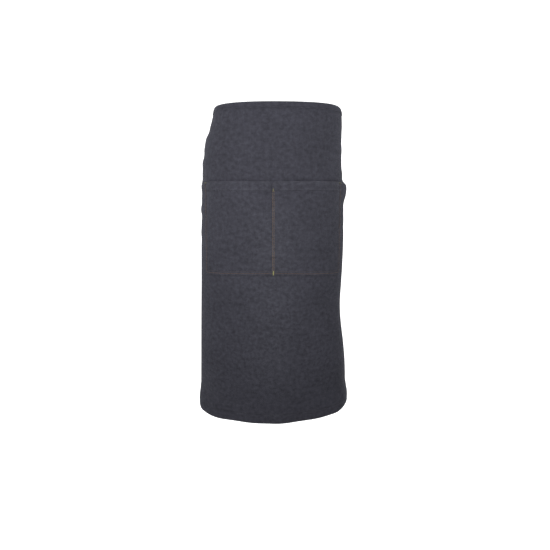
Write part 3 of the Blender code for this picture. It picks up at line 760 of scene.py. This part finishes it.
mid_r = band_point(S_BAND[-1] + 0.0004, 0.5 * (prof[:, 0] + inn[:, 0]), 0.5 * (prof[:, 1] + inn[:, 1]))
end0 = band_point(S_BAND, 0.5 * (prof[0, 0] + inn[0, 0]) + 0.0003, 0.5 * (prof[0, 1] + inn[0, 1]) + 0 * S_BAND)
end1 = band_point(S_BAND, 0.5 * (prof[-1, 0] + inn[-1, 0]) + 0.0003, 0.5 * (prof[-1, 1] + inn[-1, 1]) + 0 * S_BAND)
run = np.concatenate([[0.0], np.cumsum(np.hypot(*np.diff(prof, axis=0).T))])
wear_band = 0.55 * bump(run, run[len(run) // 2 + 1], 0.0022)[:, None] + 0.4 * bump(to, BAND, 0.0012) + 0 * SB
band = closed_sheet("waistband_cloth", outer, inner_, mid_l, mid_r, np.stack([SB, run[K] + 2.0], -1), ("denim",), end0, end1, wear_band)
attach(band, "waist")
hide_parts("waistband")
band_row = stitch_mesh("waistband_row", lambda a, b, off: cloth(a, b, BAND_OUT + swell(b) + off),
                       row([(-HALF + 0.004, BAND - 0.0022), (HALF - 0.004, BAND - 0.0022)]), "dark_thread")
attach(band_row, "waist")
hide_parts("waistband_stitch")

# ------------------------------------------------------------------ ties
KNOT = np.array([0.0, 0.1105, -0.0125])
KNOT_HALF = 0.013
TIE_OFF = BAND_IN - GAP - 0.0001


def back_arc(sign):
    g = SECTIONS[1 if sign > 0 else 0, 12] * 0.5 + SECTIONS[1 if sign > 0 else 0, 13] * 0.5
    hit = np.where((g[:, 0] < KNOT_HALF + 0.0006) & (g[:, 1] > 0))[0]
    return float(hit[0] * S_STEP)


def tie_surface(sign, s0, s1):
    """surface(a, b, off): a metres along the tie, b metres up it from its middle."""
    def surf(a, b, off):
        a, b, off = np.broadcast_arrays(np.asarray(a, float), np.asarray(b, float), np.asarray(off, float))
        s = s0 + a
        free = smooth((s - HALF - 0.004) / 0.03)
        t = 0.0125 - b
        o = TIE_OFF + 0.0030 * free + off
        flat = cloth(sign * s, t, o)
        stand = cloth(sign * s, np.full_like(t, 0.0125), o)
        p = flat * (1 - free[..., None]) + stand * free[..., None]
        p[..., 2] = -t + lift(sign * s, np.maximum(t, 0.0)) - 0.0012 * free * np.sin(math.pi * np.clip((s - HALF) / (s1 - HALF), 0, 1))
        return p
    return surf


def strap(name, surf, length, width, thick, mats, step=0.0045, width_at=None, lo=0.0):
    """A folded and edge-stitched strap as a closed solid on surf(a, b, off), off along its outer side."""
    A = np.linspace(lo, length, max(3, int((length - lo) / step) + 1))
    V = np.array([-0.5, -0.46, -0.40, -0.34, -0.20, 0.0, 0.20, 0.34, 0.40, 0.46, 0.5])
    AA, VV = np.meshgrid(A, V, indexing="ij")
    w = width if width_at is None else width_at(AA)
    BB = -VV * w
    relief = -0.00035 * bump(np.abs(VV), 0.5, 0.035) + groove((0.5 - np.abs(VV)) * width - 0.0022, 0.0008, 0.00022)
    relief = relief + 0.00012 * np.sin(2 * math.pi * AA / 0.0091 + 3 * VV)
    outer, inner = surf(AA, BB, relief), surf(AA, BB, -thick - 0.6 * relief)
    e = thick / 2
    left = surf(A, BB[:, 0] + e, -e + 0 * A)
    right = surf(A, BB[:, -1] - e, -e + 0 * A)
    end = surf(A[-1] + e, BB[-1], -e + 0 * BB[-1])
    start = surf(A[0] - e, BB[0], -e + 0 * BB[0])
    wear_and_highlight = 0.55 * bump(np.abs(VV), 0.5, 0.05) + 0 * AA
    return closed_sheet(name, outer, inner, left, right, np.stack([BB + 5.0, -AA], -1), mats, start, end, wear_and_highlight)


for sign, side in ((-1, "left"), (1, "right")):
    s0, s1 = HALF - 0.030, back_arc(sign)
    surf = tie_surface(sign, s0, s1)
    tie = strap(side + "_tie_strap", surf, s1 - s0 + 0.0055, TIE_WIDTH, TIE_THICK, ("tie_denim",))
    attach(tie, "waist")
    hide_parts(side + "_tie")
    rows_ = np.concatenate([row([(0.034, b), (s1 - s0 - 0.001, b)]) for b in (-TIE_WIDTH / 2 + 0.0022, TIE_WIDTH / 2 - 0.0022)])
    ob = stitch_mesh(side + "_tie_rows", surf, rows_, "dark_thread", radius=0.0003)
    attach(ob, "waist")
    # the stitched box with its cross that fastens the tie inside the band, seen from inside
    x0, x1, y0, y1 = 0.004, 0.026, -0.0055, 0.0065
    cross = [((x0, y0), (x1, y0)), ((x1, y0), (x1, y1)), ((x1, y1), (x0, y1)), ((x0, y1), (x0, y0)), ((x0, y0), (x1, y1)), ((x0, y1), (x1, y0))]
    segs = np.concatenate([row(c, 0.0026, 0.0004) for c in cross])
    ob = stitch_mesh(side + "_tie_box_rows", lambda a, b, off, f=surf: f(a, b, off - TIE_THICK), segs, "dark_thread", radius=0.0003, inward=True)
    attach(ob, "waist")
    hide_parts(side + "_tie_box_stitch")

# ------------------------------------------------------------------ the bow
# knot: a strap wrapped over itself, gathered into pleats that run round it
NX_, NA_ = 41, 56
xs = np.linspace(-1.0, 1.0, NX_)
an = np.linspace(0, 2 * math.pi, NA_, endpoint=False)
XX, AA = np.meshgrid(xs, an, indexing="ij")
barrel = (1 - np.abs(XX) ** 5.0) ** 0.42 * (1 - 0.10 * np.abs(XX) ** 2)
barrel[0] = barrel[-1] = 0.30
pleat = 0.00050 * np.cos(XX * 13.0 + 0.9 * np.sin(AA + 0.6)) * (1 - np.abs(XX) ** 4) + 0.00022 * np.cos(XX * 29.0 + 1.7 * np.cos(AA))
ca, sa = np.cos(AA), np.sin(AA)
ry, rz = 0.0068, 0.0122
pw = 2.0 / 2.7
yy = np.sign(ca) * np.abs(ca) ** pw * (ry * barrel + pleat)
zz = np.sign(sa) * np.abs(sa) ** pw * (rz * barrel + pleat)
kv = np.stack([KNOT[0] + XX * (KNOT_HALF - 0.0004) + 0.0009 * sa, KNOT[1] + yy, KNOT[2] + zz + 0.0005 * XX], -1).reshape(-1, 3)
kf = []
for i in range(NX_ - 1):
    for q in range(NA_):
        q2 = (q + 1) % NA_
        kf.append((i * NA_ + q, (i + 1) * NA_ + q, (i + 1) * NA_ + q2, i * NA_ + q2))
kf.append(tuple(range(NA_)))
kf.append(tuple((NX_ - 1) * NA_ + q for q in reversed(range(NA_))))
kuv = np.stack([XX * 0.013 + 8.0, AA * 0.012], -1).reshape(-1, 2)
kwear = (0.45 * smooth(pleat / 0.0006)).ravel()
knot = new_mesh("bow_knot_wrap", kv, kf, ["tie_denim"], None, kuv, wear_and_highlight=kwear)
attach(knot, "waist")
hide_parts("bow_knot")

LOOP = 0.085
for sign, side in ((-1, "left"), (1, "right")):
    PHI_N = 97
    phi = np.linspace(0.0, 2 * math.pi, PHI_N)
    reach = 0.5 * (1 - np.cos(phi))
    lx = sign * (KNOT_HALF - 0.0030 + (LOOP + 0.0030) * reach)
    ly = KNOT[1] + 0.0050 * smooth(reach * 4) + 0.0010 * np.cos(phi / 2) + 0.0098 * np.sin(phi) * np.sin(phi / 2) ** 1.1
    lz = KNOT[2] - 0.040 * reach ** 1.5
    line = np.stack([lx, ly, lz], -1)
    tan = np.gradient(line, axis=0)
    tan /= np.linalg.norm(tan, axis=1, keepdims=True)
    up = np.array([0.0, 0.0, 1.0])
    nrm = np.cross(tan, up)
    nrm /= np.linalg.norm(nrm, axis=1, keepdims=True)
    arc = np.concatenate([[0.0], np.cumsum(np.linalg.norm(np.diff(line, axis=0), axis=1))])
    width = TIE_WIDTH * (0.50 + 0.50 * smooth(reach * 3.2))
    V = np.linspace(-0.5, 0.5, 17)
    pinch = (1 - smooth(reach * 2.2))
    relief = 0.00075 * pinch[:, None] * np.cos(2 * math.pi * V * 3)[None, :] - 0.0003 * bump(np.abs(V), 0.5, 0.035)[None, :]
    curl = 0.0011 * np.sin(phi)[:, None] * (4 * V ** 2 - 0.33)[None, :]
    th = 0.0011
    # the loop's outer side: away from its own middle
    outward = np.sign((nrm * (line - line.mean(0)))[:, :2].sum(1) + 1e-12)
    outward = np.full(PHI_N, 1.0 if outward[PHI_N // 4] > 0 else -1.0)
    nn = nrm * outward[:, None]
    grid = line[:, None, :] + up[None, None, :] * (V[None, :] * width[:, None])[..., None]
    o = grid + nn[:, None, :] * (relief + curl)[..., None]
    i_ = grid + nn[:, None, :] * (relief + curl - th)[..., None]
    e0 = 0.5 * (o[:, 0] + i_[:, 0]) - up * 0.0005
    e1 = 0.5 * (o[:, -1] + i_[:, -1]) + up * 0.0005
    uvl = np.stack(np.meshgrid(V * TIE_WIDTH + 6.0 + sign, arc), -1)
    wl = 0.5 * bump(np.abs(V), 0.5, 0.05)[None, :] + 0.3 * bump(phi, math.pi, 0.25)[:, None]
    loop = closed_sheet(side + "_loop_strap", o, i_, e0, e1, uvl, ("tie_denim",), None, None, wl)
    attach(loop, "waist")
    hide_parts(side + "_bow_loop")

TAIL_TOP = KNOT[2] - 0.013 - 0.0014


def tail_surface(sign):
    def surf(a, b, off):
        a, b, off = np.broadcast_arrays(np.asarray(a, float), np.asarray(b, float), np.asarray(off, float))
        x = sign * (0.0125 + 0.10 * a - 0.0016 * np.sin(a / 0.055)) - b
        y = KNOT[1] + 0.0007 + 0.0016 * np.sin(a / 0.031 + (0.5 if sign > 0 else 2.1)) * smooth(a / 0.05) + 0.0010 * (b / 0.010) ** 2 * np.sin(a / 0.045 + sign)
        return np.stack([x, y + off, TAIL_TOP - a], -1)
    return surf


for sign, side in ((-1, "left"), (1, "right")):
    surf = tail_surface(sign)
    wide = lambda a: TIE_WIDTH * (0.62 + 0.38 * smooth((a + 0.004) / 0.032))
    tail = strap(side + "_tail_strap", surf, TAIL_LENGTH - 0.0007, TIE_WIDTH, TIE_THICK, ("tie_denim",), width_at=wide, lo=-0.0030)
    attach(tail, side + "_tail")
    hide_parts(side + "_tie_tail")
    rws = [row([(0.030, b), (TAIL_LENGTH - 0.008, b)]) for b in (-TIE_WIDTH / 2 + 0.0022, TIE_WIDTH / 2 - 0.0022)]
    rws.append(row([(TAIL_LENGTH - 0.0075, -TIE_WIDTH / 2 + 0.0022), (TAIL_LENGTH - 0.0075, TIE_WIDTH / 2 - 0.0022)]))
    ob = stitch_mesh(side + "_tail_rows", surf, np.concatenate(rws), "dark_thread", radius=0.0003)
    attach(ob, side + "_tail")

# make every closed piece's faces point outward
for ob in list(bpy.data.objects):
    if ob.type == 'MESH' and "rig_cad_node" not in ob:
        bm = bmesh.new()
        bm.from_mesh(ob.data)
        bmesh.ops.recalc_face_normals(bm, faces=bm.faces)
        bm.to_mesh(ob.data)
        bm.free()
        ob.data.update()

# ------------------------------------------------------------------ sheets
ob = bpy.data.objects

# ------------------------------------------------------------------ studio
WORLD = (0.391, 0.391, 0.400)


def stage_material(name):
    m = bpy.data.materials.new(name)
    m.use_nodes = True
    nt = m.node_tree
    p = nt.nodes["Principled BSDF"]
    p.inputs["Base Color"].default_value = (0.82, 0.82, 0.82, 1.0)
    p.inputs["Roughness"].default_value = 0.9
    p.inputs["Specular IOR Level"].default_value = 0.1
    # lit evenly from within where it is the backdrop, behind the object
    geo = nt.nodes.new("ShaderNodeNewGeometry")
    sep = nt.nodes.new("ShaderNodeSeparateXYZ")
    nt.links.new(geo.outputs["Position"], sep.inputs[0])
    rng = nt.nodes.new("ShaderNodeMapRange")
    rng.interpolation_type = 'SMOOTHSTEP'
    rng.inputs["From Min"].default_value = -0.6
    rng.inputs["From Max"].default_value = 0.5
    rng.inputs["To Min"].default_value = 0.0
    rng.inputs["To Max"].default_value = 1.0
    nt.links.new(sep.outputs[1], rng.inputs["Value"])
    wide = nt.nodes.new("ShaderNodeMath")
    wide.operation = 'ABSOLUTE'
    nt.links.new(sep.outputs[0], wide.inputs[0])
    near = nt.nodes.new("ShaderNodeMapRange")
    near.interpolation_type = 'SMOOTHSTEP'
    near.inputs["From Min"].default_value = 2.8
    near.inputs["From Max"].default_value = 3.4
    near.inputs["To Min"].default_value = 1.0
    near.inputs["To Max"].default_value = 0.0
    nt.links.new(wide.outputs[0], near.inputs["Value"])
    both = nt.nodes.new("ShaderNodeMath")
    both.operation = 'MULTIPLY'
    nt.links.new(rng.outputs[0], both.inputs[0])
    nt.links.new(near.outputs[0], both.inputs[1])
    p.inputs["Emission Color"].default_value = (1.0, 1.0, 1.0, 1.0)
    nt.links.new(both.outputs[0], p.inputs["Emission Strength"])
    return m


def make_stage():
    prof_ = [(-4.0, -1.6), (2.2, -1.6)]
    prof_ += [(2.2 + 1.2 * math.sin(k * math.pi / 24), -1.6 + 1.2 * (1 - math.cos(k * math.pi / 24))) for k in range(1, 13)]
    prof_ += [(3.4, 4.5)]
    verts, faces = [], []
    for (y, z) in prof_:
        verts += [(-6.0, y, z), (6.0, y, z)]
    for k in range(len(prof_) - 1):
        faces.append((2 * k, 2 * k + 1, 2 * k + 3, 2 * k + 2))
    me = bpy.data.meshes.new("studio_floor")
    me.from_pydata(verts, [], faces)
    me.polygons.foreach_set("use_smooth", np.full(len(me.polygons), True))
    me.materials.append(stage_material("studio_white"))
    o = bpy.data.objects.new("studio_floor", me)
    coll.objects.link(o)


make_stage()

world = bpy.data.worlds.new("studio")
world.use_nodes = True
world.node_tree.nodes["Background"].inputs["Color"].default_value = (*WORLD, 1.0)
world.node_tree.nodes["Background"].inputs["Strength"].default_value = 1.0
bpy.context.scene.world = world


def area(name, where, aim, size, power, colour=(1.0, 1.0, 1.0)):
    data = bpy.data.lights.new(name, 'AREA')
    data.shape = 'DISK'
    data.size = size
    data.energy = power
    data.color = colour
    o = bpy.data.objects.new(name, data)
    o.location = where
    d = Vector(aim) - Vector(where)
    o.rotation_euler = d.to_track_quat('-Z', 'Y').to_euler()
    o.visible_camera = False
    coll.objects.link(o)
    return o


AIM = (0.0, -0.1, -0.30)
area("key", (-0.25, -0.70, -0.10), AIM, 0.6, 4.5)
area("high", (-0.10, -1.00, 0.10), AIM, 0.6, 1.9)
area("low", (0.20, -0.45, -0.32), AIM, 0.5, 0.4)
area("right_high", (0.50, -0.15, 0.10), AIM, 0.6, 1.3)
area("right_low", (0.50, -0.15, -0.10), AIM, 0.6, 0.3)
area("left", (-0.55, -0.35, 0.25), AIM, 0.6, 0.3)
area("left_rim", (-0.50, 0.05, 0.12), AIM, 0.4, 0.8)

bpy.context.view_layer.update()
